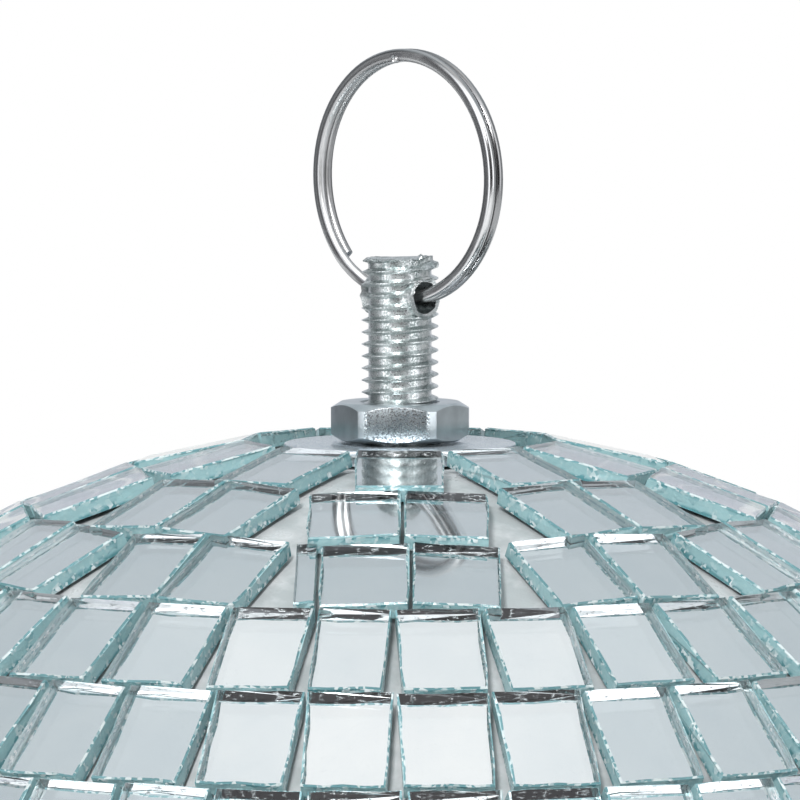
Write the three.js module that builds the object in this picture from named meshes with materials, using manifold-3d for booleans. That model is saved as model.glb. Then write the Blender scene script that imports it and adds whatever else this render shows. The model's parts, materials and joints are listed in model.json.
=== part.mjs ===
// A 200 mm mirror ball hung from a split ring. Millimetres, +Z up.
// The origin is where the hanging line bears: level with the top of the split ring's eye, on the
// ball's axis. The ring sits a little to one side of that axis.
// The ring lies in the XZ plane and the stud's cross hole runs along X.
import * as THREE from 'three';
import { mergeVertices } from 'three/addons/utils/BufferGeometryUtils.js';
import Module from 'manifold-3d';

// driving dimensions
const ballRadius = 100; // to the corners of the mirror tiles
const gap = 0.3; // clearance between pieces that touch
const frontHeading = 45.5; // degrees from -Y towards +X, the heading that the seams are counted from

const ring = { eyeRadius: 11.95, radial: 1.35, axial: 0.95, strandPitch: 1.05, offset: 1 };
const ringTurns = { start: 228, crossFrom: 542, crossTo: 588, end: 892 }; // degrees from the top, clockwise
const hole = { radius: 1.7, aboveWire: 0.2, abovePole: 13.4 };
const stud = { radius: 4, rootRadius: 3.35, pitch: 1.25, tipAboveHole: 4, length: 39.4, chamfer: 0.6 };
const topNut = { acrossFlats: 13, cornerRadius: 7.2, height: 4, chamfer: 1, aboveWasher: gap, turn: -3 };
const topWasher = { radius: 12.1, bore: 4.4, thickness: 1.6, topBelowPole: 1.85 };
const glass = { thickness: 1.7, seam: 0.45, width: 8.8, rowCount: 23, firstRowAngle: 9 };
const core = { wall: 2.5, seatWall: 3, bore: 4.4 };
const band = { height: 16, thickness: 2 };
const loadPlate = { radius: 16, bore: 4.4, thickness: 1.5 };
const innerWasher = { radius: 12, bore: 4.4, thickness: 1.6 };
const lockWasher = { radius: 6.8, bore: 4.5, thickness: 2, cutAngle: 14 };
const innerNut = { acrossFlats: 13, cornerRadius: 7.3, height: 6.5, chamfer: 0.9 };
const nutBore = 4.3;
const bottomMirror = { radius: 14.2, thickness: 1.7 };

// heights worked out from them
const wireRadius = ring.eyeRadius + ring.radial / 2;
const holeHeight = -ring.eyeRadius - wireRadius + hole.aboveWire;
const ballCentre = holeHeight - hole.abovePole - ballRadius;
const rowAngle = (180 - 2 * glass.firstRowAngle) / glass.rowCount;
const coreRadius = ballRadius - glass.thickness - 2 * gap;
const washerTop = ballCentre + ballRadius - topWasher.topBelowPole;
const seatHeight = washerTop - topWasher.thickness - gap - ballCentre;
const studTop = holeHeight + stud.tipAboveHole;

const rad = THREE.MathUtils.degToRad;
const wasm = await Module();
wasm.setup();

const finishes = {
  nickel: { color: 0xb9bbbd, roughness: 0.22, metalness: 1 },
  zinc: { color: 0xb4bcc4, roughness: 0.38, metalness: 1 },
  mirror: { color: 0xdfe9eb, roughness: 0.04, metalness: 1 },
  plastic: { color: 0xd9dedd, roughness: 0.55, metalness: 0 },
  spring: { color: 0x8f9398, roughness: 0.4, metalness: 1 },
};

function material(finish) {
  return new THREE.MeshStandardMaterial(finishes[finish]);
}

function named(name, geometry, finish) {
  const mesh = new THREE.Mesh(geometry, material(finish));
  mesh.name = name;
  return mesh;
}

// Solid of revolution about +Z. Profile points are [radius, height], in the order that faces out.
function turned(profile, segments, heading = 0) {
  const points = profile.map(([r, z]) => new THREE.Vector2(r, z));
  const geometry = new THREE.LatheGeometry(points, segments, rad(heading));
  return geometry.rotateX(Math.PI / 2);
}

// A flat ring such as a washer, from its bottom height up.
function flatRing(outer, bore, bottom, thickness, segments = 32) {
  const top = bottom + thickness;
  return turned([[bore, bottom], [outer, bottom], [outer, top], [bore, top], [bore, bottom]], segments);
}

// manifold-3d joins and cuts closed meshes; only positions go in and come out.
function toManifold(geometry) {
  const bare = geometry.clone();
  bare.deleteAttribute('normal');
  bare.deleteAttribute('uv');
  const merged = mergeVertices(bare, 1e-4);
  return new wasm.Manifold(new wasm.Mesh({
    numProp: 3,
    vertProperties: new Float32Array(merged.attributes.position.array),
    triVerts: new Uint32Array(merged.index.array),
  }));
}

function fromManifold(solid) {
  const mesh = solid.getMesh();
  const geometry = new THREE.BufferGeometry();
  geometry.setAttribute('position', new THREE.BufferAttribute(new Float32Array(mesh.vertProperties), 3));
  geometry.setIndex(new THREE.BufferAttribute(new Uint32Array(mesh.triVerts), 1));
  geometry.computeVertexNormals();
  return geometry;
}

// The split ring's wire: one length coiled almost twice. It starts in the back strand, low on the left,
// crosses to the front strand in the stretch where it is single, and ends hidden in the stud's hole.
class SplitRingWire extends THREE.Curve {
  getPoint(t, target = new THREE.Vector3()) {
    const turn = THREE.MathUtils.lerp(ringTurns.start, ringTurns.end, t);
    const crossing = THREE.MathUtils.smoothstep(turn, ringTurns.crossFrom, ringTurns.crossTo);
    const y = THREE.MathUtils.lerp(ring.strandPitch / 2, -ring.strandPitch / 2, crossing);
    const angle = rad(turn);
    return target.set(
      ring.offset + wireRadius * Math.sin(angle),
      y,
      -ring.eyeRadius + wireRadius * Math.cos(angle),
    );
  }
}

function roundedBar(width, height, radius) {
  const w = width / 2;
  const h = height / 2;
  const shape = new THREE.Shape();
  shape.moveTo(-w + radius, -h);
  shape.lineTo(w - radius, -h);
  shape.lineTo(w, -h + radius);
  shape.lineTo(w, h - radius);
  shape.lineTo(w - radius, h);
  shape.lineTo(-w + radius, h);
  shape.lineTo(-w, h - radius);
  shape.lineTo(-w, -h + radius);
  shape.closePath();
  return shape;
}

function makeSplitRing() {
  const steps = 88;
  const cornerCut = 0.28;
  const section = roundedBar(ring.axial, ring.radial, cornerCut);
  const geometry = new THREE.ExtrudeGeometry(section, { steps, extrudePath: new SplitRingWire() });
  return named('split_ring', geometry, 'nickel');
}

// The stud: turned grooves at the thread's pitch stand in for its helix above the nut.
function makeStud() {
  const bottom = studTop - stud.length;
  const threadStart = washerTop + gap + topNut.height;
  const profile = [[0, bottom], [stud.radius - stud.chamfer, bottom], [stud.radius, bottom + stud.chamfer]];
  const turns = Math.floor((studTop - stud.chamfer - threadStart) / stud.pitch);
  for (let i = 0; i < turns; i += 1) {
    const z = threadStart + i * stud.pitch;
    profile.push([stud.radius, z], [stud.rootRadius, z + stud.pitch / 2]);
  }
  profile.push([stud.radius, studTop - stud.chamfer], [stud.rootRadius, studTop], [0, studTop]);
  const rod = toManifold(turned(profile, 20));
  const drillLength = 4 * stud.radius;
  const drill = new THREE.CylinderGeometry(hole.radius, hole.radius, drillLength, 20);
  drill.rotateZ(Math.PI / 2).translate(0, 0, holeHeight);
  return named('hanger_stud', fromManifold(rod.subtract(toManifold(drill))), 'zinc');
}

// A hexagon nut with both faces chamfered: a hexagonal bar cut by a turned barrel.
function makeNut(name, size, bottom, heading) {
  const hexagon = new THREE.Shape();
  const corner = size.acrossFlats / Math.sqrt(3);
  for (let i = 0; i < 6; i += 1) {
    const angle = rad(heading - 60 + i * 60);
    hexagon[i === 0 ? 'moveTo' : 'lineTo'](corner * Math.cos(angle), corner * Math.sin(angle));
  }
  hexagon.closePath();
  const bore = new THREE.Path();
  bore.absarc(0, 0, nutBore, 0, 2 * Math.PI, true);
  hexagon.holes.push(bore);
  const bar = new THREE.ExtrudeGeometry(hexagon, {
    depth: size.height, bevelEnabled: false, curveSegments: 16,
  }).translate(0, 0, bottom);
  const top = bottom + size.height;
  const faceRadius = size.cornerRadius - size.chamfer;
  const drop = size.chamfer * Math.tan(rad(35));
  const barrel = turned([
    [0, bottom], [faceRadius, bottom], [size.cornerRadius, bottom + drop],
    [size.cornerRadius, top - drop], [faceRadius, top], [0, top],
  ], 36);
  return named(name, fromManifold(toManifold(bar).intersect(toManifold(barrel))), 'zinc');
}

// A spring lock washer: a flat ring with one narrow radial cut.
function makeLockWasher(bottom) {
  const shape = new THREE.Shape();
  const half = rad(lockWasher.cutAngle / 2);
  shape.absarc(0, 0, lockWasher.radius, half, 2 * Math.PI - half, false);
  shape.absarc(0, 0, lockWasher.bore, 2 * Math.PI - half, half, true);
  shape.closePath();
  const geometry = new THREE.ExtrudeGeometry(shape, {
    depth: lockWasher.thickness, bevelEnabled: false, curveSegments: 24,
  }).translate(0, 0, bottom);
  return named('lock_washer', geometry, 'spring');
}

// Points of a sphere about the ball's centre, from one polar angle to another, in degrees.
function arc(radius, from, to, steps) {
  return Array.from({ length: steps + 1 }, (_, i) => {
    const angle = rad(from + (to - from) * i / steps);
    return [radius * Math.sin(angle), ballCentre + radius * Math.cos(angle)];
  });
}

// The upper and lower half shells: thin domes with a flat seat at the pole, open at the equator.
function coreProfile(side) {
  const arcSteps = 8;
  const outerSeat = Math.acos(seatHeight / coreRadius) * 180 / Math.PI;
  const innerRadius = coreRadius - core.wall;
  const innerSeat = Math.acos((seatHeight - core.seatWall) / innerRadius) * 180 / Math.PI;
  const rim = 90 - Math.asin(gap / 2 / innerRadius) * 180 / Math.PI;
  const outside = arc(coreRadius, rim, outerSeat, arcSteps);
  const inside = arc(innerRadius, innerSeat, rim, arcSteps);
  const bore = side === 'upper' ? core.bore : 0;
  const seat = [[bore, ballCentre + seatHeight], [bore, ballCentre + seatHeight - core.seatWall]];
  const profile = [...outside, ...seat, ...inside, outside[0]];
  return side === 'upper' ? profile : profile.map(([r, z]) => [r, 2 * ballCentre - z]);
}

function makeCoreShells() {
  const segments = 36;
  const upper = turned(coreProfile('upper'), segments);
  const lowerLoop = coreProfile('lower').reverse();
  const start = lowerLoop.findIndex(([r]) => r === 0);
  const lowerOpen = [...lowerLoop.slice(start + 1), ...lowerLoop.slice(1, start + 1)];
  return [
    named('core_upper_shell', upper, 'plastic'),
    named('core_lower_shell', turned(lowerOpen, segments), 'plastic'),
  ];
}

function makeJoiningBand() {
  const outer = coreRadius - core.wall - 3 * gap;
  const bottom = ballCentre - band.height / 2;
  return named('joining_band', flatRing(outer, outer - band.thickness, bottom, band.height, 36), 'plastic');
}

// Polar angle of a facet's corners, so that the middle of its edge lies at the given angle from the pole.
function cornerAngle(angle, tiles) {
  return Math.atan(Math.tan(rad(angle)) / Math.cos(Math.PI / tiles)) * 180 / Math.PI;
}

// One latitude row of glass tiles as a faceted band, one facet for each tile.
// seamShift is how far the first seam sits from the front heading, in millimetres along the row.
function makeMirrorRow(index, seamShift) {
  const seamAngle = glass.seam / ballRadius * 180 / Math.PI;
  const from = glass.firstRowAngle + index * rowAngle + seamAngle / 2;
  const to = from + rowAngle - seamAngle;
  const narrow = ballRadius * Math.min(Math.sin(rad(from)), Math.sin(rad(to)));
  const tiles = Math.floor(Math.PI / Math.atan((glass.width + glass.seam) / 2 / narrow));
  const upperAngle = from < 90 ? cornerAngle(from, tiles) : from;
  const lowerAngle = to > 90 ? 180 - cornerAngle(180 - to, tiles) : to;
  const [upper, lower] = arc(ballRadius, upperAngle, lowerAngle, 1);
  const middle = rad((from + to) / 2);
  const inward = ([r, z]) => [
    r - glass.thickness * Math.sin(middle),
    z - glass.thickness * Math.cos(middle),
  ];
  const heading = frontHeading + seamShift / narrow * 180 / Math.PI;
  const geometry = turned([lower, upper, inward(upper), inward(lower), lower], tiles, heading);
  return named(`mirror_row_${String(index + 1).padStart(2, '0')}`, geometry, 'mirror');
}

function makeMirrorRows() {
  const frontSeams = [4.5, 0.2, 0.8, -1, -0.5];
  const drift = 3.7;
  return Array.from({ length: glass.rowCount }, (_, i) => {
    const seamShift = i < frontSeams.length ? frontSeams[i] : (i * drift) % glass.width;
    return makeMirrorRow(i, seamShift);
  });
}

function makeBottomMirror() {
  const top = ballCentre - seatHeight - gap;
  const bottom = top - bottomMirror.thickness;
  const profile = [[0, bottom], [bottomMirror.radius, bottom], [bottomMirror.radius, top], [0, top]];
  return named('bottom_mirror', turned(profile, 32), 'mirror');
}

// The clamp inside the core, each piece a gap below the last.
function makeInnerClamp() {
  let top = ballCentre + seatHeight - core.seatWall - gap;
  const next = (thickness) => {
    const bottom = top - thickness;
    top = bottom - gap;
    return bottom;
  };
  const plate = flatRing(loadPlate.radius, loadPlate.bore, next(loadPlate.thickness), loadPlate.thickness);
  const washer = flatRing(innerWasher.radius, innerWasher.bore, next(innerWasher.thickness), innerWasher.thickness);
  return [
    named('load_plate', plate, 'zinc'),
    named('inner_washer', washer, 'zinc'),
    makeLockWasher(next(lockWasher.thickness)),
    makeNut('inner_nut', innerNut, next(innerNut.height), 0),
  ];
}

function makeTopWasher() {
  const bottom = washerTop - topWasher.thickness;
  return named('top_washer', flatRing(topWasher.radius, topWasher.bore, bottom, topWasher.thickness, 48), 'zinc');
}

const hanging = new THREE.Group();
hanging.add(makeSplitRing());

const ball = new THREE.Group();
ball.add(makeStud());
ball.add(makeNut('top_nut', topNut, washerTop + topNut.aboveWasher, frontHeading + topNut.turn));
ball.add(makeTopWasher());
ball.add(...makeInnerClamp());
ball.add(...makeCoreShells());
ball.add(makeJoiningBand());
ball.add(...makeMirrorRows());
ball.add(makeBottomMirror());

const mirrorBall = new THREE.Group();
mirrorBall.add(hanging, ball);
export default mirrorBall;
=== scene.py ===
import json
import math
import random

import bpy
from mathutils import Matrix, Vector


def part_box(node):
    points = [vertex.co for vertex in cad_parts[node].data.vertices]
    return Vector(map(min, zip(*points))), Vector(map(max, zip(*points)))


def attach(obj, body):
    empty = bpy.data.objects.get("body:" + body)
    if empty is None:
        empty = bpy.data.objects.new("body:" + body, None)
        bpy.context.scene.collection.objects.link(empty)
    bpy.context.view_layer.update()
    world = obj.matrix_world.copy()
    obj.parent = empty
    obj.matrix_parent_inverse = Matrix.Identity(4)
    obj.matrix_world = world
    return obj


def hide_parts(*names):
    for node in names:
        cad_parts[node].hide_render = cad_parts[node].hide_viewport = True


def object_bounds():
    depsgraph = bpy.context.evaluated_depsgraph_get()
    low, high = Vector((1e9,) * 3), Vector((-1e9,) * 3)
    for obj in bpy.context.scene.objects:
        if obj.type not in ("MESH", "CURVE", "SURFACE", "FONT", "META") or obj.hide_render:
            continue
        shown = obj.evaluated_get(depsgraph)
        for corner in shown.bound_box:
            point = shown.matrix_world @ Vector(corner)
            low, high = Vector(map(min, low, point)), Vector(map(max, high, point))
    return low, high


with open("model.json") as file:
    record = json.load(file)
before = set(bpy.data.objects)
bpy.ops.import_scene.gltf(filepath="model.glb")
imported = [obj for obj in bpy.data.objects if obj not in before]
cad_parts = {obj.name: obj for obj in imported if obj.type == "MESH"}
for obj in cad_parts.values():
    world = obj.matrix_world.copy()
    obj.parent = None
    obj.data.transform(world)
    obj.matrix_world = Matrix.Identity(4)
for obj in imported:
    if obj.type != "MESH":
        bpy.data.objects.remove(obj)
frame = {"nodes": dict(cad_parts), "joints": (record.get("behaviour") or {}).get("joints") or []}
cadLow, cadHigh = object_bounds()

mm = 0.001
axisY = Vector((0, 1, 0))
axisZ = Vector((0, 0, 1))


# shared measures, read from the frame

ballCentre = (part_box("core_upper_shell")[0].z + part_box("core_lower_shell")[1].z) / 2
studLow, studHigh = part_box("hanger_stud")
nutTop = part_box("top_nut")[1].z
ringLow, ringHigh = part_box("split_ring")
ringMiddle = (ringLow + ringHigh) / 2
holeHeight = next(j for j in frame["joints"] if j["name"] == "ball_swing")["pos_m"][2]

look = {
    "heading": 45.5,        # degrees from -Y towards +X, the side the ball is seen from
    "distance": 623 * mm,   # from the ball's axis
    "abovePole": 49 * mm,
    "pitch": 4.26,
    "lens": 270,
    "sensor": 36,
    "clip": (0.01, 50),
}

ball = {
    "radius": 100 * mm,
    "rows": 23,
    "firstRowAngle": 9.0,
    "seam": 0.45 * mm,
    "tileWidth": 8.6 * mm,
    "glass": 1.7 * mm,
    "seed": 11,
}


# working in Blender

def pickNone():
    bpy.ops.object.select_all(action="DESELECT")


def pickOnly(piece):
    pickNone()
    piece.select_set(True)
    bpy.context.view_layer.objects.active = piece


def nameActive(name):
    piece = bpy.context.object
    piece.name = name
    piece.data.name = name
    return piece


def applyAll(piece):
    pickOnly(piece)
    for modifier in list(piece.modifiers):
        bpy.ops.object.modifier_apply(modifier=modifier.name)


def settle(piece):
    pickOnly(piece)
    bpy.ops.object.transform_apply(location=True, rotation=True, scale=True)


# selects faces, edges or vertices by a test, then leaves the piece in edit mode
def editWith(piece, kind, test):
    pickOnly(piece)
    bpy.ops.object.mode_set(mode="EDIT")
    bpy.ops.mesh.select_mode(type=kind)
    bpy.ops.mesh.select_all(action="DESELECT")
    bpy.ops.object.mode_set(mode="OBJECT")
    mesh = piece.data
    if kind == "FACE":
        for face in mesh.polygons:
            face.select = test(face)
    elif kind == "EDGE":
        for edge in mesh.edges:
            edge.select = test(*[mesh.vertices[i].co for i in edge.vertices])
    else:
        for vertex in mesh.vertices:
            vertex.select = test(vertex.co)
    bpy.ops.object.mode_set(mode="EDIT")


def doneEditing():
    bpy.ops.object.mode_set(mode="OBJECT")


def cutWith(piece, tool, operation):
    step = piece.modifiers.new("cut", "BOOLEAN")
    step.operation = operation
    step.object = tool
    step.solver = "EXACT"
    applyAll(piece)
    bpy.data.objects.remove(tool, do_unlink=True)


def addBevel(piece, width, segments=2, angle=30, material=-1):
    step = piece.modifiers.new("bevel", "BEVEL")
    step.width = width
    step.segments = segments
    step.limit_method = "ANGLE"
    step.angle_limit = math.radians(angle)
    step.material = material
    applyAll(piece)


def smooth(piece, angle=35):
    pickOnly(piece)
    bpy.ops.object.shade_smooth_by_angle(angle=math.radians(angle))


def cylinder(name, radius, low, high, vertices=64):
    pickNone()
    bpy.ops.mesh.primitive_cylinder_add(
        vertices=vertices, radius=radius, depth=high - low, location=(0, 0, (low + high) / 2))
    piece = nameActive(name)
    settle(piece)
    return piece


def dress(piece, *materials):
    piece.data.materials.clear()
    for material in materials:
        piece.data.materials.append(material)


# shader maths

# a shader socket that adds its Math nodes when it is used in an expression
class Wire:
    def __init__(self, graph, socket):
        self.graph = graph
        self.socket = socket

    def maths(self, operation, first, second):
        return self.graph.add("ShaderNodeMath", {"operation": operation}, {0: first, 1: second})

    def __add__(self, other):
        return self.maths("ADD", self, other)

    def __radd__(self, other):
        return self.maths("ADD", other, self)

    def __sub__(self, other):
        return self.maths("SUBTRACT", self, other)

    def __rsub__(self, other):
        return self.maths("SUBTRACT", other, self)

    def __mul__(self, other):
        return self.maths("MULTIPLY", self, other)

    def __rmul__(self, other):
        return self.maths("MULTIPLY", other, self)

    def __truediv__(self, other):
        return self.maths("DIVIDE", self, other)

    def __pow__(self, other):
        return self.maths("POWER", self, other)

    def atLeast(self, other):
        return self.maths("MAXIMUM", self, other)

    def atMost(self, other):
        return self.maths("MINIMUM", self, other)


class Graph:
    def __init__(self, tree):
        self.tree = tree
        tree.nodes.clear()

    def connect(self, value, socket):
        if isinstance(value, Wire):
            self.tree.links.new(value.socket, socket)
        else:
            socket.default_value = value

    # adds a node, with its settings first, then the values or links of its sockets
    def add(self, kind, settings=None, inputs=None, output=0):
        node = self.tree.nodes.new(kind)
        for key, value in (settings or {}).items():
            if key == "stops":
                ramp = node.color_ramp
                while len(ramp.elements) < len(value):
                    ramp.elements.new(0.5)
                for element, (place, colour) in zip(ramp.elements, value):
                    element.position = place
                    element.color = (*colour, 1)
            else:
                setattr(node, key, value)
        for key, value in (inputs or {}).items():
            self.connect(value, node.inputs[key])
        return Wire(self, node.outputs[output])

    def place(self):
        return self.add("ShaderNodeTexCoord", output="Object")

    def axes(self, vector):
        node = self.add("ShaderNodeSeparateXYZ", None, {"Vector": vector}).socket.node
        return [Wire(self, socket) for socket in node.outputs]

    def vector(self, x, y, z):
        return self.add("ShaderNodeCombineXYZ", None, {"X": x, "Y": y, "Z": z})

    # a vector operation that gives one number
    def compare(self, operation, first, second):
        return self.add("ShaderNodeVectorMath", {"operation": operation}, {0: first, 1: second}, output=1)

    # how far a point lies from a place, in metres
    def distance(self, place):
        return self.compare("DISTANCE", self.place(), place)

    def dot(self, where, direction):
        return self.compare("DOT_PRODUCT", where, direction)

    def noise(self, scale, detail=3.0, roughness=0.5, where=None):
        return self.add("ShaderNodeTexNoise", None, {
            "Vector": where or self.place(), "Scale": scale, "Detail": detail, "Roughness": roughness})

    # flat facets of broken glass: each cell has its own value from 0 to 1
    def facets(self, scale):
        inputs = {"Vector": self.place(), "Scale": scale}
        cells = self.add("ShaderNodeTexVoronoi", {"feature": "F1"}, inputs, output=1)
        return self.axes(cells)[0]

    # runs from start to end between two values of a mask, and holds beyond them
    def step(self, mask, low, high, start=0.0, end=1.0):
        return self.add("ShaderNodeMapRange", {"clamp": True}, {
            "Value": mask, "From Min": low, "From Max": high, "To Min": start, "To Max": end})

    # a colour read from stops, each a place from 0 to 1 and a colour
    def ramp(self, mask, stops):
        return self.add("ShaderNodeValToRGB", {"stops": stops}, {"Fac": mask})

    def mixColour(self, mask, first, second):
        first = first if isinstance(first, Wire) else (*first, 1)
        second = second if isinstance(second, Wire) else (*second, 1)
        return self.add("ShaderNodeMix", {"data_type": "RGBA"}, {0: mask, 6: first, 7: second}, output=2)

    def bump(self, height, strength, distance):
        return self.add("ShaderNodeBump", None, {
            "Strength": strength, "Distance": distance, "Height": height})

    def principled(self, inputs):
        return self.add("ShaderNodeBsdfPrincipled", None, inputs)

    def finish(self, shader, kind="ShaderNodeOutputMaterial"):
        node = self.tree.nodes.new(kind)
        self.tree.links.new(shader.socket, node.inputs["Surface"])


def newMaterial(name):
    material = bpy.data.materials.new(name)
    material.use_nodes = True
    return material, Graph(material.node_tree)


# finishes

zincFinish = {
    "light": (0.72, 0.76, 0.78), "dark": (0.36, 0.40, 0.43),
    "grain": 7500, "patch": 420, "roughness": (0.24, 0.42), "bump": 0.22,
    "plainTone": 0.62,        # the tone of the flats that carry no painted glints
}


# bright zinc plate: a fine crystalline speckle over broader cloudy patches. With a glint heading,
# only the flat on that side is speckled, as painted glints where the light falls, and the rest is plain
def makeZinc(name, finish=None, speckle=0.5, seed=0.0):
    values = {**zincFinish, **(finish or {})}
    material, graph = newMaterial(name)
    where = graph.add("ShaderNodeMapping", None, {"Vector": graph.place(), "Location": (seed, seed * 2, 0)})
    grain = graph.noise(values["grain"], 2, 0.6, where)
    patch = graph.noise(values["patch"], 3, 0.5, where)
    specks = graph.step(grain, 0.40, 0.60)
    cloud = graph.step(patch, 0.35, 0.68)
    # painted glints: the speckle stays only on the flat that faces the view, where the light falls
    if "etchedHeading" in values:
        turn = math.radians(values["etchedHeading"])
        out = graph.dot(graph.place(), (math.sin(turn), -math.cos(turn), 0))
        glintFlat = graph.step(out, values["etchedFrom"] - 0.1 * mm, values["etchedFrom"])
        specks = specks * glintFlat + (1 - glintFlat) * values["plainTone"]
    mask = specks * speckle + cloud * (1 - speckle)
    low, high = values["roughness"]
    graph.finish(graph.principled({
        "Base Color": graph.mixColour(mask, values["dark"], values["light"]),
        "Metallic": 1.0,
        "Roughness": graph.step(specks, 0, 1, high, low),
        "Normal": graph.bump(grain + patch * 0.4, values["bump"], 0.02 * mm),
    }))
    return material


nickelFinish = {
    "wire": 1.35 * mm,                  # thickness of the wire, outside to inside
    "line": (0.17, 0.17, 0.175), "bright": (0.72, 0.72, 0.72),
    "lines": 2200, "bands": 1500, "scuffs": 400,
}


# polished nickel: dark lines run round the ring, partly drawing lines and partly painted reflection
# streaks, with a few faint scuffs, and the inside is duller
def makeNickel():
    material, graph = newMaterial("polishedNickel")
    x, y, z = graph.axes(graph.place())
    across = x - ringMiddle.x
    along = z - ringMiddle.z
    radius = (across * across + along * along) ** 0.5
    # the pattern is stretched along the wire: drawing lines and painted reflection streaks together
    drawn = graph.vector(radius, y, across * 0.03)
    lines = graph.noise(nickelFinish["lines"], 2, 0.5, drawn)
    bands = graph.noise(nickelFinish["bands"], 1, 0.5, drawn)
    coilInside = (ringHigh.x - ringLow.x) / 2 - nickelFinish["wire"]
    inside = graph.step(radius, coilInside + 0.15 * mm, coilInside + 0.45 * mm, 1, 0)
    scuffs = graph.noise(nickelFinish["scuffs"], 2, 0.5)
    worn = graph.step(scuffs, 0.52, 0.72)
    tone = graph.step(lines, 0.38, 0.62) * 0.5 + graph.step(bands, 0.42, 0.58) * 0.5
    graph.finish(graph.principled({
        "Base Color": graph.mixColour(tone, nickelFinish["line"], nickelFinish["bright"]),
        "Metallic": 1.0,
        "Roughness": 0.18 + worn * 0.10 + inside * 0.20,
        "Normal": graph.bump(graph.noise(260, 1, 0.5), 0.25, 0.15 * mm),
    }))
    return material


glassFinish = {
    "ior": 1.52,
    "silver": (0.86, 0.90, 0.92), "silverCloud": (0.91, 0.94, 0.95),
    "face": (0.985, 0.995, 0.995), "dust": (0.80, 0.83, 0.84),
    "break": (0.80, 0.92, 0.92), "flaw": (0.95, 0.98, 0.98),
    "flake": (0.36, 0.56, 0.58), "flakeBorder": (0.10, 0.28, 0.31), "flakeGlint": (0.95, 0.99, 0.99),
    "rim": (0.17, 0.37, 0.40), "rimGlint": (0.84, 0.93, 0.93),
}


# the silver behind the glass, with faint clouding
def makeSilver():
    material, graph = newMaterial("mirrorSilver")
    cloud = graph.noise(160, 3, 0.5)
    tone = graph.step(cloud, 0.3, 0.7)
    graph.finish(graph.principled({
        "Base Color": graph.mixColour(tone, glassFinish["silver"], glassFinish["silverCloud"]),
        "Metallic": 1.0,
        "Roughness": 0.012 + tone * 0.02,
    }))
    return material


# the face of a tile: clear glass with a film of dust and slow waves
def makeTileGlass():
    material, graph = newMaterial("tileGlass")
    film = graph.noise(260, 3, 0.55)
    specks = graph.noise(5200, 1, 0.5)
    dust = graph.step(specks, 0.70, 0.78)
    graph.finish(graph.principled({
        "Base Color": graph.mixColour(dust, glassFinish["face"], glassFinish["dust"]),
        "Transmission Weight": 1.0,
        "IOR": glassFinish["ior"],
        "Roughness": graph.step(film, 0.45, 0.75, 0.0, 0.035) + dust * 0.2,
        "Normal": graph.bump(graph.noise(90, 1, 0.5), 0.05, 0.4 * mm),
    }))
    return material


# the uphill cut edge of a tile, which mirrors the room back: a clean break, slightly green
def makeCleanEdge():
    material, graph = newMaterial("cleanCutGlass")
    chips = graph.noise(1500, 3, 0.6)
    ripple = graph.noise(330, 2, 0.5)
    flaw = graph.step(chips, 0.60, 0.68)
    graph.finish(graph.principled({
        "Base Color": graph.mixColour(flaw, glassFinish["break"], glassFinish["flaw"]),
        "Transmission Weight": 1.0,
        "IOR": glassFinish["ior"],
        "Roughness": flaw * 0.25,
        "Normal": graph.bump(chips * flaw + ripple * 0.35, 0.5, 0.12 * mm),
    }))
    return material


# depth below the ball's surface, from 0 at a tile's face to 1 at its silver
def glassDepth(graph):
    return (ball["radius"] - graph.distance((0, 0, ballCentre))) / ball["glass"]


# the other cut edges: clear breaks in flat teal flakes, with painted shade as darker teal lines towards the
# face and the silver
def makeRoughEdge():
    material, graph = newMaterial("roughCutGlass")
    flakes = graph.facets(2600)
    shards = graph.facets(1000)
    grain = graph.noise(3000, 2, 0.6)
    middle = glassDepth(graph) - 0.5
    # painted shade: the wall turns darker teal near the face and near the silver
    shadeLine = graph.step(middle * middle + (shards - 0.5) * 0.22, 0.05, 0.18)
    glint = graph.step(flakes * 0.6 + shards * 0.4, 0.55, 0.90) * (shadeLine * 0.75 + 0.2)
    body = graph.mixColour(shadeLine, glassFinish["flake"], glassFinish["flakeBorder"])
    graph.finish(graph.principled({
        "Base Color": graph.mixColour(glint, body, glassFinish["flakeGlint"]),
        "Transmission Weight": 0.35,
        "IOR": glassFinish["ior"],
        "Roughness": 0.05 + grain * 0.22,
        "Normal": graph.bump(flakes + shards + grain * 0.5, 0.8, 0.16 * mm),
    }))
    return material


# the chipped rim of a tile: fine flakes that catch the light
def makeChippedRim():
    material, graph = newMaterial("chippedRim")
    flakes = graph.facets(2300)
    shards = graph.facets(700)
    grain = graph.noise(4200, 2, 0.6)
    glint = graph.step(flakes * 0.6 + shards * 0.4, 0.52, 0.66)
    graph.finish(graph.principled({
        "Base Color": graph.mixColour(glint, glassFinish["rim"], glassFinish["rimGlint"]),
        "Transmission Weight": 0.5,
        "IOR": glassFinish["ior"],
        "Roughness": 0.08 + grain * 0.25,
        "Normal": graph.bump(flakes + shards + grain * 0.4, 0.8, 0.10 * mm),
    }))
    return material


plasticFinish = {"bare": (0.32, 0.345, 0.35), "glue": (0.46, 0.475, 0.48)}


# pale moulded plastic with the smears and beads of the glue that holds the tiles
def makeCorePlastic():
    material, graph = newMaterial("coreWithGlue")
    smear = graph.noise(170, 5, 0.6)
    bead = graph.noise(900, 2, 0.5)
    glue = graph.step(smear, 0.44, 0.60)
    graph.finish(graph.principled({
        "Base Color": graph.mixColour(glue, plasticFinish["bare"], plasticFinish["glue"]),
        "Roughness": 0.62 - glue * 0.35,
        "Coat Weight": glue * 0.35,
        "Normal": graph.bump(smear + bead * 0.25, 0.5, 0.5 * mm),
    }))
    return material


floorFinish = {"dark": (0.80, 0.80, 0.80), "light": (0.86, 0.86, 0.86)}


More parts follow.
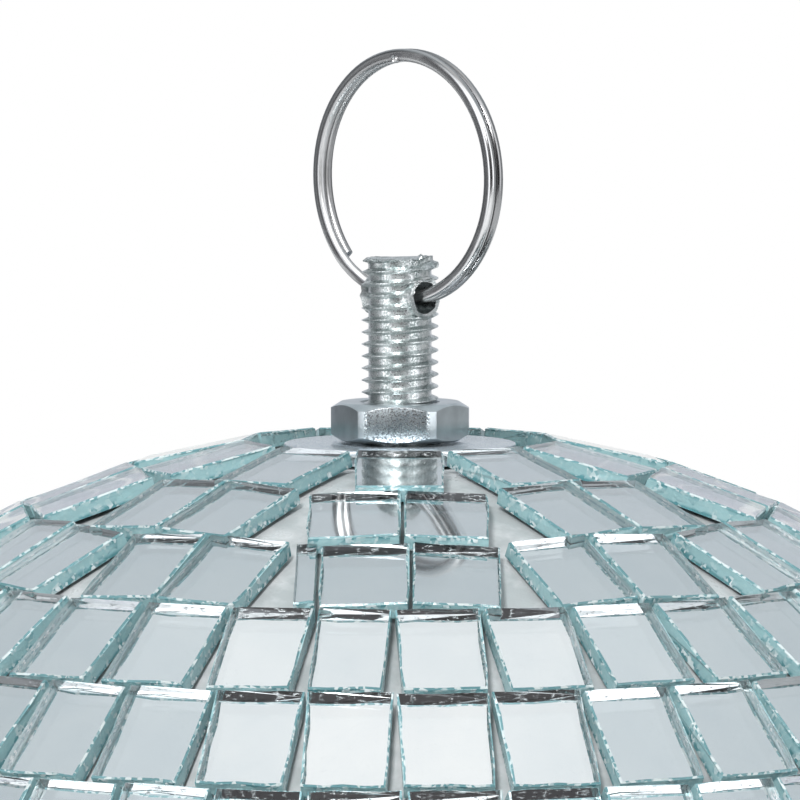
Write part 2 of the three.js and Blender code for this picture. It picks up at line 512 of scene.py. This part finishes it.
def makeFloorPaint():
    material, graph = newMaterial("paleFloor")
    cloud = graph.noise(3, 3, 0.5)
    graph.finish(graph.principled({
        "Base Color": graph.mixColour(cloud, floorFinish["dark"], floorFinish["light"]),
        "Roughness": 0.6,
    }))
    return material


nickel = makeNickel()
studZinc = makeZinc("studZinc", {"light": (0.98, 1.0, 1.0), "dark": (0.27, 0.32, 0.32), "bump": 0.8,
                                 "grain": 4800, "patch": 600, "roughness": (0.22, 0.44)}, speckle=0.55)
# the nuts' zinc: the flat towards the view carries painted glints
nutZinc = makeZinc("nutZinc", {"grain": 4600, "light": (0.88, 0.95, 0.98),
                               "dark": (0.15, 0.18, 0.20), "bump": 1.0,
                               "roughness": (0.20, 0.42), "etchedHeading": look["heading"] - 3,
                               "etchedFrom": 6.4 * mm}, speckle=0.8, seed=0.3)
# painted highlight: near-white metal for the bright outline along the nuts' bevelled edges
edgeZinc = makeZinc("edgeZinc", {"light": (1.0, 1.0, 1.0), "dark": (0.80, 0.84, 0.87), "bump": 0.1,
                                 "roughness": (0.30, 0.38)}, speckle=0.3, seed=0.9)
washerZinc = makeZinc("washerZinc", {"grain": 3000, "light": (0.97, 1.0, 1.0), "dark": (0.48, 0.55, 0.62),
                                     "bump": 1.6}, speckle=0.85, seed=0.7)
plateZinc = makeZinc("plateZinc", {"patch": 160}, speckle=0.4, seed=1.1)
springSteel = makeZinc("springSteel", {"light": (0.45, 0.45, 0.46), "dark": (0.25, 0.25, 0.26)}, seed=1.7)
silver = makeSilver()
tileGlass = makeTileGlass()
cleanEdge = makeCleanEdge()
roughEdge = makeRoughEdge()
chippedRim = makeChippedRim()
corePlastic = makeCorePlastic()
print("finishes made")


# mirror tiles

tileLook = {
    "length": 11.84 * mm,
    "rim": 0.17 * mm,
    "breaks": 3,              # cuts along each side of the outline
    "chip": 0.13 * mm,        # how far the outline strays
    "kinds": 5,
    "sink": 0.25 * mm,        # the middle of a flat tile lies below the sphere of its corners
    "leanSink": 0.05 * mm,    # per degree, where a tile leans
    "tilt": 0.5,              # degrees, each way
    "twist": 0.45,
    "widthSpread": 0.22 * mm,
    "lengthSpread": 0.10 * mm,
    "rise": 0.06 * mm,        # how much higher or lower a tile is glued
    "flat": 0.001 * mm,
    "drift": 3.7,             # mm from one row's first seam to the next row's
    "driftCycle": 9,
}

# the tiles by the front heading, row by row: where the first begins, in mm along the row,
# and the groups that follow, each a list of widths in mm laid side by side. The front groups of
# two rows were glued a little flat, by a lean in degrees
frontTiles = {
    0: (-4.6, [[8.9]]),
    1: (-9.0, [[9.1, 8.3]]),
    2: (-10.2, [[2.0, 8.6, 8.5]]),
    3: (-16.6, [[8.1], [7.0], [8.1], [8.2]]),
    4: (-17.7, [[8.4], [8.0], [8.6], [8.4]]),
}
groupSize = {0: 1, 1: 2, 2: 2}
frontLean = {1: 3.1, 2: 3.1}


# an edge of the tile's face, which lies in the plane z = 0
def onFace(first, second):
    return first.z > -tileLook["flat"] and second.z > -tileLook["flat"]


# one tile with its outer face at the origin: silvered back, snapped sides and a chipped rim
def makeTile(name, seed):
    pickNone()
    bpy.ops.mesh.primitive_cube_add(size=1, location=(0, 0, 0))
    tile = nameActive(name)
    tile.scale = (ball["tileWidth"], tileLook["length"], ball["glass"])
    tile.location = (0, 0, -ball["glass"] / 2)
    settle(tile)
    # the face's outline is broken up, then pressed flat again
    editWith(tile, "EDGE", onFace)
    bpy.ops.mesh.subdivide(number_cuts=tileLook["breaks"])
    doneEditing()
    editWith(tile, "FACE", lambda face: face.normal.z > 0.9)
    bpy.ops.mesh.dissolve_faces(use_verts=False)
    bpy.ops.mesh.select_mode(type="VERT")
    bpy.ops.transform.vertex_random(offset=tileLook["chip"], uniform=1.0, normal=0.0, seed=seed)
    bpy.ops.transform.resize(value=(1, 1, 0), center_override=(0, 0, 0))
    doneEditing()
    dress(tile, tileGlass, silver, cleanEdge, roughEdge, chippedRim)
    for face in tile.data.polygons:
        normal = face.normal
        if normal.z < -0.9:
            face.material_index = 1
        elif normal.y > 0.6:
            face.material_index = 2
        elif normal.z < 0.9:
            face.material_index = 3
    editWith(tile, "EDGE", onFace)
    bpy.ops.mesh.bevel(offset=tileLook["rim"], segments=1, affect="EDGES", material=4)
    doneEditing()
    return tile


def rowEdges(index):
    step = (180 - 2 * ball["firstRowAngle"]) / ball["rows"]
    start = ball["firstRowAngle"] + index * step
    return math.radians(start), math.radians(start + step)


# groups of tiles round one row: each is a heading in radians and the widths laid side by side
def rowGroups(index, dice):
    start, end = rowEdges(index)
    seam = ball["seam"]
    nearRadius = ball["radius"] * min(math.sin(start), math.sin(end)) + seam / 2
    fromPole = min(index, ball["rows"] - 1 - index)
    size = groupSize.get(fromPole, 1)

    def spread(widths):
        return 2 * math.atan((sum(widths) + seam * len(widths)) / 2 / nearRadius)

    first, groups = frontTiles.get(index, ((index * tileLook["drift"]) % tileLook["driftCycle"], []))
    fixed = len(groups)
    groups = [[w * mm for w in widths] for widths in groups]
    heading = first * mm / nearRadius
    left = 2 * math.pi - sum(spread(widths) for widths in groups)
    while True:
        widths = [
            ball["tileWidth"] + dice.uniform(-1, 1) * tileLook["widthSpread"] for _ in range(size)]
        if spread(widths) > left:
            break
        groups.append(widths)
        left -= spread(widths)
    placed = []
    slack = left / (len(groups) - fixed)
    for number, widths in enumerate(groups):
        half = spread(widths) / 2
        extra = slack if number >= fixed else 0.0
        placed.append((heading + half + extra / 2, widths))
        heading += 2 * half + extra
    return placed


# a tile's frame on the ball: x along the row, y up the slope, z out of the ball
def tilePlace(angle, groupHeading, shift, lean, dice):
    radius = ball["radius"] - tileLook["sink"] - lean * tileLook["leanSink"]
    radius += dice.uniform(-1, 1) * tileLook["rise"]
    front = math.radians(look["heading"])
    groupTurn = front + groupHeading
    turn = groupTurn + math.asin(shift / (radius * math.sin(angle)))
    out = Vector((math.sin(angle) * math.sin(turn), -math.sin(angle) * math.cos(turn), math.cos(angle)))
    slope = Vector((-math.cos(angle) * math.sin(groupTurn),
                    math.cos(angle) * math.cos(groupTurn), math.sin(angle)))
    up = (slope - out * slope.dot(out)).normalized()
    across = up.cross(out)
    place = Matrix((across, up, out)).transposed().to_4x4()
    place.translation = Vector((0, 0, ballCentre)) + out * radius
    for axis, spread, extra in (("X", "tilt", lean), ("Y", "tilt", 0), ("Z", "twist", 0)):
        turned = math.radians(dice.uniform(-1, 1) * tileLook[spread] - extra)
        place = place @ Matrix.Rotation(turned, 4, axis)
    return place


def makeMirrorRow(index, dice):
    start, end = rowEdges(index)
    middle = (start + end) / 2
    name = f"mirrorRow{index + 1:02d}"
    tiles = []
    for number, (heading, widths) in enumerate(rowGroups(index, dice)):
        lean = frontLean.get(index, 0) if number == 0 else 0
        edge = -(sum(widths) + ball["seam"] * (len(widths) - 1)) / 2
        for width in widths:
            length = tileLook["length"] + dice.uniform(-1, 1) * tileLook["lengthSpread"]
            mesh = dice.choice(masterTiles).data.copy()
            share = (width / ball["tileWidth"], length / tileLook["length"], 1, 1)
            mesh.transform(Matrix.Diagonal(share))
            mesh.transform(tilePlace(middle, heading, edge + width / 2, lean, dice))
            tile = bpy.data.objects.new(name, mesh)
            bpy.context.collection.objects.link(tile)
            tiles.append(tile)
            edge += width + ball["seam"]
    pickNone()
    for tile in tiles:
        tile.select_set(True)
    bpy.context.view_layer.objects.active = tiles[0]
    bpy.ops.object.join()
    row = nameActive(name)
    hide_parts(f"mirror_row_{index + 1:02d}")
    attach(row, "ball")
    return len(tiles)


masterTiles = [makeTile(f"masterTile{kind}", kind + 1) for kind in range(tileLook["kinds"])]
dice = random.Random(ball["seed"])
tileCount = sum(makeMirrorRow(index, dice) for index in range(ball["rows"]))
for tile in masterTiles:
    bpy.data.objects.remove(tile, do_unlink=True)
print("mirror tiles laid:", tileCount)


bottom = {"vertices": 96, "edge": 0.15 * mm}


# the round mirror that closes the bottom
def makeBottomMirror():
    low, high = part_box("bottom_mirror")
    disc = cylinder("bottomMirror", high.x, low.z, high.z, bottom["vertices"])
    addBevel(disc, bottom["edge"], segments=1)
    dress(disc, tileGlass, silver, cleanEdge)
    for face in disc.data.polygons:
        if face.normal.z > 0.9:
            face.material_index = 1
        elif face.normal.z > -0.9:
            face.material_index = 2
    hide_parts("bottom_mirror")
    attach(disc, "ball")


makeBottomMirror()


# the core

core = {"wall": 2.5 * mm, "bore": 4.4 * mm, "segments": 128, "rings": 96, "drillReach": 20 * mm}


# one half shell: a sphere cut at the equator and cut flat at its pole, then given its wall
def makeCoreShell(name, node, side):
    low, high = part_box(node)
    radius = high.x
    rim = low.z if side > 0 else high.z
    seat = high.z if side > 0 else low.z
    pickNone()
    bpy.ops.mesh.primitive_uv_sphere_add(
        segments=core["segments"], ring_count=core["rings"], radius=radius,
        location=(0, 0, ballCentre))
    shell = nameActive(name)
    settle(shell)
    editWith(shell, "FACE", lambda face: True)
    bpy.ops.mesh.bisect(plane_co=(0, 0, rim), plane_no=(0, 0, side), clear_inner=True)
    bpy.ops.mesh.select_all(action="SELECT")
    bpy.ops.mesh.bisect(plane_co=(0, 0, seat), plane_no=(0, 0, side), clear_outer=True, use_fill=True)
    doneEditing()
    step = shell.modifiers.new("wall", "SOLIDIFY")
    step.thickness = core["wall"]
    step.offset = -1
    applyAll(shell)
    if side > 0:
        reach = core["drillReach"]
        cutWith(shell, cylinder("drill", core["bore"], seat - reach, seat + reach), "DIFFERENCE")
    smooth(shell, 30)
    dress(shell, corePlastic)
    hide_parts(node)
    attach(shell, "ball")


makeCoreShell("coreUpper", "core_upper_shell", 1)
makeCoreShell("coreLower", "core_lower_shell", -1)
print("core made")


# nuts, washers and plate

washerShape = {"bore": 4.4 * mm, "vertices": 96, "edge": 0.18 * mm, "plateEdge": 0.3 * mm}


# a cylinder that reaches past both ends of what it cuts
def makeDrill(radius, low, high, vertices):
    return cylinder("drill", radius, low.z - 10 * mm, high.z + 10 * mm, vertices)


def makeWasher(name, node, material, edge):
    low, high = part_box(node)
    vertices = washerShape["vertices"]
    washer = cylinder(name, high.x, low.z, high.z, vertices)
    cutWith(washer, makeDrill(washerShape["bore"], low, high, vertices), "DIFFERENCE")
    addBevel(washer, edge)
    smooth(washer, 40)
    dress(washer, material)
    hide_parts(node)
    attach(washer, "ball")


nutShape = {"acrossFlats": 13 * mm, "faceChamfer": 1.0 * mm, "chamferDrop": 0.62 * mm,
            "bore": 4.15 * mm, "boreVertices": 64, "edge": 0.34 * mm}


# a bar with both ends chamfered, used to round the corners of the nut and the tip of the stud
def barrel(radius, low, high, inset, drop):
    bar = cylinder("barrel", radius, low + drop, high - drop, 128)
    for end, way in ((low + drop, -1), (high - drop, 1)):
        editWith(bar, "FACE", lambda face: abs(face.center.z - end) < 0.01 * mm
                 and abs(face.normal.z) > 0.9)
        bpy.ops.mesh.extrude_region_move(TRANSFORM_OT_translate={"value": (0, 0, drop * way)})
        share = (radius - inset) / radius
        bpy.ops.transform.resize(value=(share, share, 1), center_override=(0, 0, end))
        doneEditing()
    return bar


# a hexagonal bar cut by a chamfered barrel, its edges softened by the plating and given a near-white
# painted highlight
def makeNut(name, node, material, heading, corner):
    low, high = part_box(node)
    hexRadius = nutShape["acrossFlats"] / math.sqrt(3)
    nut = cylinder(name, hexRadius, low.z, high.z, 6)
    nut.rotation_euler.z = math.radians(heading + 30)
    settle(nut)
    rounded = barrel(corner, low.z, high.z, nutShape["faceChamfer"], nutShape["chamferDrop"])
    cutWith(nut, rounded, "INTERSECT")
    cutWith(nut, makeDrill(nutShape["bore"], low, high, nutShape["boreVertices"]), "DIFFERENCE")
    dress(nut, material, edgeZinc)
    addBevel(nut, nutShape["edge"], angle=25, material=1)
    smooth(nut, 40)
    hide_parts(node)
    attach(nut, "ball")


makeWasher("topWasher", "top_washer", washerZinc, washerShape["edge"])
makeWasher("innerWasher", "inner_washer", washerZinc, washerShape["edge"])
makeWasher("loadPlate", "load_plate", plateZinc, washerShape["plateEdge"])
makeNut("topNut", "top_nut", nutZinc, look["heading"] - 3, 7.2 * mm)
makeNut("innerNut", "inner_nut", nutZinc, 0, 7.3 * mm)
print("nuts and washers made")


# the stud

thread = {
    "pitch": 1.25 * mm, "crest": 4.0 * mm, "root": 3.28 * mm,
    "crestFlat": 0.07, "rootFlat": 0.44,            # shares of the pitch
    "steps": 48,
    "tipInset": 0.6 * mm, "tipDrop": 0.5 * mm, "slack": 0.05 * mm,
    "hole": 1.7 * mm, "drillReach": 8 * mm,
    "smear": 2.15 * mm, "smearReach": 3.72 * mm,    # metal pressed into the grooves round the hole
    "wear": 0.09 * mm, "wearSeed": 9, "wornTip": 1.1 * mm,
    "wornRim": 2.5 * mm, "wornRimFrom": 2.9 * mm,
    "burr": 0.22 * mm, "burrOut": 0.10 * mm, "burrDepth": 0.8 * mm, "burrFrom": 2.0 * mm,
}


def crossBar(name, radius, reach, vertices):
    bar = cylinder(name, radius, -reach, reach, vertices)
    bar.rotation_euler.y = math.pi / 2
    bar.location.z = holeHeight
    settle(bar)
    return bar


# one tooth of the thread is drawn, screwed up the axis, trimmed to length, smeared round the hole
# and drilled
def makeStud():
    low = studLow.z
    high = studHigh.z
    pitch = thread["pitch"]
    root = thread["root"]
    crest = thread["crest"]
    flank = (1 - thread["crestFlat"] - thread["rootFlat"]) / 2 * pitch
    tooth = (
        (0, thread["rootFlat"] * pitch), (crest - root, flank),
        (0, thread["crestFlat"] * pitch), (root - crest, flank))
    pickNone()
    bpy.ops.mesh.primitive_plane_add(size=pitch, location=(root, 0, low - pitch))
    stud = nameActive("hangerStud")
    settle(stud)
    editWith(stud, "VERT", lambda co: True)
    bpy.ops.mesh.merge(type="CENTER")
    for outward, upward in tooth:
        bpy.ops.mesh.extrude_region_move(TRANSFORM_OT_translate={"value": (outward, 0, upward)})
    doneEditing()
    turns = stud.modifiers.new("thread", "SCREW")
    turns.screw_offset = pitch
    turns.iterations = math.ceil((high - low) / pitch) + 3
    turns.steps = thread["steps"]
    turns.render_steps = thread["steps"]
    turns.use_merge_vertices = True
    turns.merge_threshold = 0.001 * mm
    applyAll(stud)
    editWith(stud, "FACE", lambda face: True)
    bpy.ops.mesh.remove_doubles(threshold=0.002 * mm)
    for end, way in ((high + 0.4 * pitch, 1), (low - 0.4 * pitch, -1)):
        bpy.ops.mesh.select_all(action="SELECT")
        bpy.ops.mesh.bisect(plane_co=(0, 0, end), plane_no=(0, 0, way), clear_outer=True, use_fill=True)
    bpy.ops.mesh.select_all(action="SELECT")
    bpy.ops.mesh.normals_make_consistent(inside=False)
    doneEditing()
    envelope = barrel(crest + thread["slack"], low, high, thread["tipInset"], thread["tipDrop"])
    cutWith(stud, envelope, "INTERSECT")
    collar = crossBar("collar", thread["smear"], thread["smearReach"], 28)
    cutWith(stud, collar, "UNION")
    cutWith(stud, crossBar("drill", thread["hole"], thread["drillReach"], 36), "DIFFERENCE")
    # the tip and the rim of the hole are battered
    editWith(stud, "VERT", lambda co: co.z > high - thread["wornTip"]
             or (math.hypot(co.z - holeHeight, co.y) < thread["wornRim"]
                 and abs(co.x) > thread["wornRimFrom"]))
    bpy.ops.transform.vertex_random(
        offset=thread["wear"], uniform=1.0, normal=0.0, seed=thread["wearSeed"])
    doneEditing()
    # a burr stands up on one side of the tip
    turn = math.radians(look["heading"])
    burr = Vector((math.cos(turn), math.sin(turn), 0))
    editWith(stud, "VERT", lambda co: co.z > high - thread["burrDepth"]
             and co.dot(burr) > thread["burrFrom"])
    bpy.ops.transform.translate(value=burr * thread["burrOut"] + axisZ * thread["burr"])
    doneEditing()
    smooth(stud, 50)
    dress(stud, studZinc)
    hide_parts("hanger_stud")
    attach(stud, "ball")


makeStud()
print("stud made")


# the split ring

wire = {"radial": 1.35 * mm, "axial": 0.95 * mm, "pitch": 1.02 * mm, "corner": 0.455 * mm,
        "start": 228, "crossFrom": 542, "crossTo": 588, "end": 892, "step": 4}

bead = {"turn": -3, "radius": 0.38 * mm, "drop": 0.44 * mm, "forward": 0.88 * mm, "dimple": 0.44 * mm,
        "beside": (-1.0, -0.3, 0), "segments": 20, "rings": 12}


# a bead of metal with a dimple beside it, on the inner edge of the front strand
def addBead(ring, middle, coil):
    turn = math.radians(bead["turn"])
    inward = -Vector((math.sin(turn), 0, math.cos(turn)))
    spot = middle - inward * (coil - bead["drop"]) - axisY * bead["forward"]
    beside = Vector(bead["beside"]) * bead["radius"]
    for name, centre, radius, operation in (
            ("bead", spot, bead["radius"], "UNION"),
            ("dimple", spot + beside, bead["dimple"], "DIFFERENCE")):
        pickNone()
        bpy.ops.mesh.primitive_uv_sphere_add(
            segments=bead["segments"], ring_count=bead["rings"], radius=radius, location=centre)
        tool = nameActive(name)
        settle(tool)
        cutWith(ring, tool, operation)


# how far the wire has crossed from the back strand to the front one, from 0 to 1
def crossed(angle):
    share = (angle - wire["crossFrom"]) / (wire["crossTo"] - wire["crossFrom"])
    share = min(share, 1)
    return share * share * (3 - 2 * share)


# the wire's end face is spun round the ring, and steps forward where the wire crosses over
def makeSplitRing():
    middle = Vector((ringMiddle.x, 0, ringMiddle.z))
    coil = (ringHigh.x - ringLow.x) / 2 - wire["radial"] / 2
    pickNone()
    bpy.ops.mesh.primitive_plane_add(size=1)
    ring = nameActive("splitRing")
    # the plane becomes the wire's end: its x turns outwards and its y lies along the ring's axis
    ring.scale = (wire["radial"], wire["axial"], 1)
    settle(ring)
    editWith(ring, "VERT", lambda co: True)
    bpy.ops.mesh.bevel(offset=wire["corner"], segments=4, affect="VERTICES")
    doneEditing()
    turn = math.radians(wire["start"])
    radial = Vector((math.sin(turn), 0, math.cos(turn)))
    place = Matrix((radial, axisY, radial.cross(axisY))).transposed().to_4x4()
    place.translation = middle + radial * coil + axisY * wire["pitch"] / 2
    ring.data.transform(place)
    editWith(ring, "FACE", lambda face: True)
    angle = wire["start"]
    while angle < wire["end"]:
        crossing = wire["crossFrom"] <= angle < wire["crossTo"]
        stop = wire["crossFrom"] if angle < wire["crossFrom"] else wire["end"]
        if crossing:
            stop = angle + wire["step"]
        bpy.ops.mesh.spin(
            steps=round((stop - angle) / wire["step"]), angle=-math.radians(stop - angle),
            center=middle, axis=axisY, use_auto_merge=False)
        if crossing:
            forward = (crossed(stop) - crossed(angle)) * wire["pitch"]
            bpy.ops.transform.translate(value=(0, -forward, 0))
        angle = stop
    bpy.ops.mesh.select_all(action="SELECT")
    bpy.ops.mesh.normals_make_consistent(inside=False)
    doneEditing()
    addBead(ring, middle, coil)
    smooth(ring, 40)
    dress(ring, nickel, springSteel)
    # the two cut ends, and the faces that the bead and its dimple cut, have more than eight corners
    for face in ring.data.polygons:
        face.material_index = 1 if len(face.vertices) > 8 else 0
    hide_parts("split_ring")
    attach(ring, "ring")


makeSplitRing()
print("split ring made")

for node, material in (("lock_washer", springSteel), ("joining_band", corePlastic)):
    dress(frame["nodes"][node], material)


# floor, light and camera

studio = {
    "floorDrop": 30 * mm, "floorRadius": 1.5, "floorThickness": 10 * mm,
    "keyTurn": 14, "keyRise": 36, "keyDistance": 1.2, "keySize": 0.22, "keyPower": 14,
    "white": (1.0, 1.0, 1.0), "panel": (1.9, 1.93, 1.96), "darkness": (0.035, 0.032, 0.035),
    "haze": (0.60, 0.62, 0.69), "beside": (0.62, 0.64, 0.65),
    # from the horizon to straight above
    "sky": [
        (0.0, (1.0, 1.0, 1.0)), (0.004, (1.0, 1.0, 1.0)), (0.03, (0.60, 0.62, 0.67)),
        (0.45, (0.58, 0.62, 0.66)), (0.80, (0.55, 0.60, 0.63)), (0.93, (0.71, 0.755, 0.78)),
        (0.975, (0.95, 0.96, 0.965)), (1.0, (0.98, 0.98, 0.98)),
    ],
    # round the sides, from behind the ball to beside the camera
    "streaks": [
        (0.0, (0.06, 0.07, 0.08)), (0.22, (0.08, 0.09, 0.10)), (0.34, (0.26, 0.27, 0.28)),
        (0.46, (0.10, 0.11, 0.12)), (0.62, (0.16, 0.17, 0.18)), (0.70, (0.42, 0.43, 0.44)),
        (0.76, (0.06, 0.06, 0.07)), (1.0, (0.3, 0.3, 0.3)),
    ],
}


def makeFloor():
    top = cadLow.z - studio["floorDrop"]
    floor = cylinder("floor", studio["floorRadius"], top - studio["floorThickness"], top, 128)
    dress(floor, makeFloorPaint())


# a white studio: pale below and behind, greyer at middle height, a white ceiling, a dark side
# where the camera first stands, and white panels to the left and right of that
def makeWorld():
    world = bpy.data.worlds.new("studio")
    bpy.context.scene.world = world
    world.use_nodes = True
    graph = Graph(world.node_tree)
    way = graph.add("ShaderNodeTexCoord", output="Generated")
    turn = math.radians(look["heading"])

    height = graph.dot(way, (0, 0, 1))
    towards = graph.dot(way, (math.sin(turn), -math.cos(turn), 0))
    sideways = graph.dot(way, (math.cos(turn), math.sin(turn), 0))
    side = (sideways * sideways) ** 0.5
    raised = height + (side - 0.07).atLeast(0) * 0.26
    sky = graph.ramp(raised.atMost(1.0 - (side - 0.15).atLeast(0) * 0.46), studio["sky"])
    # fine bright lines low down beside the view, for the tiles on the ball's horizon
    lines = graph.noise(300, 1, 0.5, graph.vector(side + height * 0.27, 0, 0))
    haze = graph.mixColour(graph.step(lines, 0.53, 0.60), studio["haze"], studio["white"])
    hazeLow = graph.step(height, -0.25, -0.12) * graph.step(height, 0.24, 0.32, 1, 0)
    sky = graph.mixColour(graph.step(side, 0.075, 0.13) * hazeLow, sky, haze)
    # the dark side and its white panels
    away = height - 0.1
    spread = (sideways * sideways + away * away * 1.2) ** 0.5
    inFront = graph.step(towards, 0.0, 0.25)
    darkness = graph.step(spread, 0.50, 0.60, 1, 0) * inFront
    panel = graph.step(spread, 0.60, 0.70) * graph.step(spread, 0.88, 0.95, 1, 0) * inFront
    # grey streaks at both sides
    low = graph.step(away * away, 0.06, 0.14, 1, 0)
    middle = graph.step(height, 0.60, 0.75, 1, 0) * graph.step(height, -0.35, -0.25)
    middle = graph.step(towards, -0.55, -0.40) * middle
    beside = (graph.step(towards, -0.85, -0.65) * low).atLeast(middle)
    beside = beside * graph.step(towards, 0.15, 0.30, 1, 0)
    streaks = graph.ramp(graph.step(towards, -0.85, 0.30), studio["streaks"])
    flag = graph.mixColour(graph.step(sideways, -0.1, 0.1) * 0.48, streaks, studio["beside"])
    colour = graph.mixColour(beside, sky, flag)
    colour = graph.mixColour(panel, colour, studio["panel"])
    colour = graph.mixColour(darkness, colour, studio["darkness"])
    # the backdrop itself is plain white; the rest shows only in reflections
    cameraRay = graph.add("ShaderNodeLightPath")
    colour = graph.mixColour(cameraRay, colour, studio["white"])
    background = graph.add("ShaderNodeBackground", None, {"Color": colour, "Strength": 1.0})
    graph.finish(background, "ShaderNodeOutputWorld")


# one soft light above the camera and to its left
def makeKeyLight():
    turn = math.radians(look["heading"] - studio["keyTurn"])
    rise = math.radians(studio["keyRise"])
    data = bpy.data.lights.new("key", "AREA")
    data.energy = studio["keyPower"]
    data.size = studio["keySize"]
    light = bpy.data.objects.new("key", data)
    bpy.context.collection.objects.link(light)
    way = Vector((math.sin(turn) * math.cos(rise), -math.cos(turn) * math.cos(rise), math.sin(rise)))
    light.location = Vector((0, 0, nutTop)) + way * studio["keyDistance"]
    light.rotation_euler = way.to_track_quat("Z", "Y").to_euler()


def makeCamera():
    turn = math.radians(look["heading"])
    pitch = math.radians(look["pitch"])
    data = bpy.data.cameras.new("camera")
    data.lens = look["lens"]
    data.sensor_width = look["sensor"]
    data.clip_start = look["clip"][0]
    data.clip_end = look["clip"][1]
    camera = bpy.data.objects.new("camera", data)
    bpy.context.collection.objects.link(camera)
    height = ballCentre + ball["radius"] + look["abovePole"]
    camera.location = (look["distance"] * math.sin(turn), -look["distance"] * math.cos(turn), height)
    ahead = Vector((-math.sin(turn) * math.cos(pitch), math.cos(turn) * math.cos(pitch),
                    -math.sin(pitch)))
    camera.rotation_euler = ahead.to_track_quat("-Z", "Y").to_euler()
    bpy.context.scene.camera = camera


makeFloor()
makeWorld()
makeKeyLight()
makeCamera()
bpy.context.scene.view_settings.view_transform = "Standard"
print("studio set")
